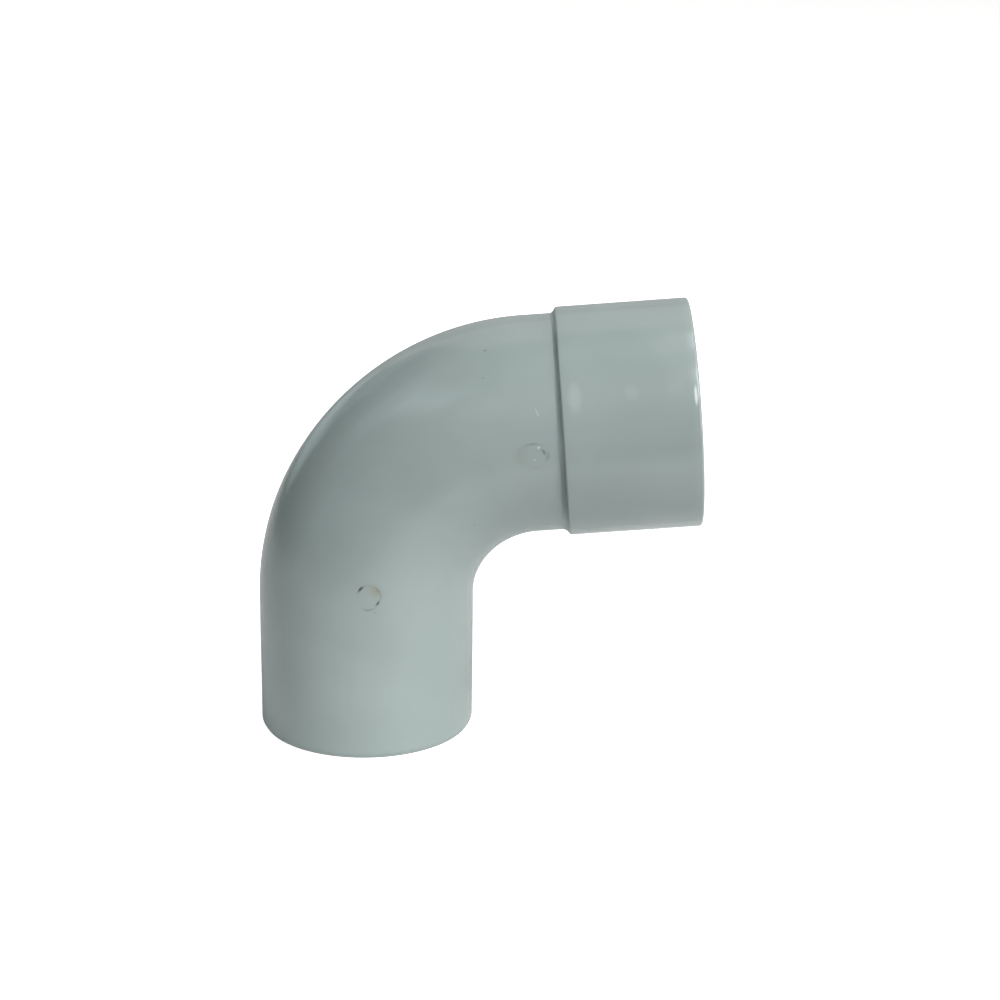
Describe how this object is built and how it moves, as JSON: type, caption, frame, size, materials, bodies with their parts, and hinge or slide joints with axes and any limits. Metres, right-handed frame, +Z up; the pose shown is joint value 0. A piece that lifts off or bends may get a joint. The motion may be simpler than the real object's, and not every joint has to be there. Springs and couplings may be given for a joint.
{
  "type": "pvc conduit elbow",
  "caption": "Rigid thin-walled PVC conduit elbow: a swept bend with a long plain spigot at one end and a larger socket sleeve at the other.",
  "frame": {"origin": "in the plane of the spigot's cut end, under the middle of the elbow's bounding box", "axes": "+Z up along the spigot leg's axis, from its cut end towards the bend; +X towards the socket; the elbow is symmetric about the XZ plane"},
  "size_m": [0.1636, 0.0836, 0.1636],
  "materials": {
    "pvc": "satin",
    "cement": "satin"
  },
  "bodies": {
    "root": {"bend_tube": "pvc", "socket_sleeve": "pvc", "cement_fillet": "cement"}
  },
  "joints": []
}
